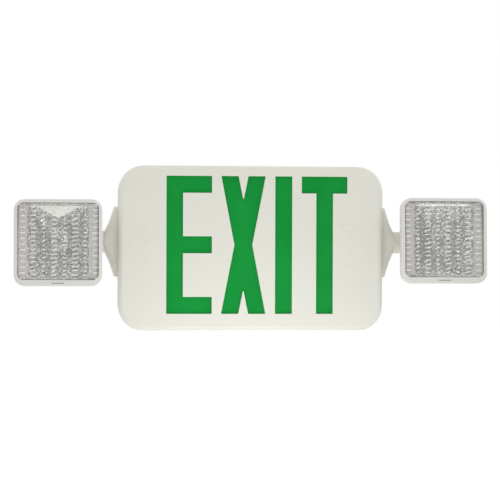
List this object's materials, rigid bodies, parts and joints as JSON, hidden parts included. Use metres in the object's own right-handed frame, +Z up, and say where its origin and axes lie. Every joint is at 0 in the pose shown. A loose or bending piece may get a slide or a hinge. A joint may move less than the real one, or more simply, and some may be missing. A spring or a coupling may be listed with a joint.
{
  "type": "emergency exit light",
  "caption": "Wall-mounted emergency exit light: a soft-edged sign box with a green lit legend and a square swivelling lamp head on each end.",
  "frame": {"origin": "centre of the supply entry hole in the back plate, in the wall plane", "axes": "+X to the right seen from the front, along the sign's length; +Y into the wall; +Z up"},
  "size_m": [0.5192, 0.0783, 0.1826],
  "materials": {
    "housing_plastic": "warm white moulded thermoplastic, low sheen",
    "legend_plastic": "green translucent panel",
    "tray_plastic": "bright white reflector tray",
    "board_laminate": "green circuit board laminate",
    "led_package": "cream LED packages",
    "steel": "zinc plated steel",
    "core_steel": "varnished laminations and bobbin",
    "relay_case": "dark blue sealed case",
    "capacitor_can": "sleeved aluminium cans",
    "terminal_plastic": "natural nylon",
    "cell_wrap": "shrink sleeve over steel cells",
    "button_plastic": "warm white moulded plastic",
    "switch_plastic": "black switch body",
    "pilot_lens": "red indicator lens",
    "lens_clear": "clear prismatic polycarbonate",
    "reflector_metal": "bright formed reflector"
  },
  "bodies": {
    "housing": {"back_housing": "housing_plastic", "battery_cells": "cell_wrap", "battery_strap": "steel", "board_screws": "steel", "button_spring": "steel", "capacitors": "capacitor_can", "circuit_board": "board_laminate", "front_cover": "housing_plastic", "left_collar": "housing_plastic", "left_collar_screws": "steel", "legend_lens": "legend_plastic", "light_box": "tray_plastic", "light_box_screws": "steel", "lower_led_board": "board_laminate", "pilot_light": "pilot_lens", "relay": "relay_case", "right_collar": "housing_plastic", "right_collar_screws": "steel", "sign_leds": "led_package", "terminal_block": "terminal_plastic", "test_switch": "switch_plastic", "transformer": "core_steel", "upper_led_board": "board_laminate"},
    "left_arm": {"left_stem": "housing_plastic", "left_washer": "steel", "left_nut": "housing_plastic"},
    "left_head": {"left_head_shell": "housing_plastic", "left_bezel": "housing_plastic", "left_lens": "lens_clear", "left_reflector": "reflector_metal", "left_lamp_board": "board_laminate", "left_lamp_led": "led_package", "left_pivot_pin": "steel", "left_glare_flap": "tray_plastic"},
    "right_arm": {"right_stem": "housing_plastic", "right_washer": "steel", "right_nut": "housing_plastic"},
    "right_head": {"right_head_shell": "housing_plastic", "right_bezel": "housing_plastic", "right_lens": "lens_clear", "right_reflector": "reflector_metal", "right_lamp_board": "board_laminate", "right_lamp_led": "led_package", "right_pivot_pin": "steel"},
    "button": {"test_button": "button_plastic"}
  },
  "joints": [
    {"name": "left_swivel", "type": "hinge", "parent": "housing", "child": "left_arm", "pos_m": [-0.16115, -0.03, 0.007], "axis": [1, 0, 0], "range_deg": [-37, 33]},
    {"name": "left_tilt", "type": "hinge", "parent": "left_arm", "child": "left_head", "pos_m": [-0.17965, -0.03, 0.007], "axis": [0, -0.0349, 0.9994], "range_deg": [-12, 15]},
    {"name": "right_swivel", "type": "hinge", "parent": "housing", "child": "right_arm", "pos_m": [0.16115, -0.03, 0.007], "axis": [1, 0, 0], "range_deg": [-32, 38]},
    {"name": "right_tilt", "type": "hinge", "parent": "right_arm", "child": "right_head", "pos_m": [0.17965, -0.03, 0.007], "axis": [0, 0.0523, 0.9986], "range_deg": [-15, 12]},
    {"name": "test_press", "type": "slide", "parent": "housing", "child": "button", "axis": [0, 0, 1], "range_m": [0, 0.0015], "stiffness_N_per_m": 600, "springref_m": -0.002, "deforming": ["button_spring"]}
  ]
}
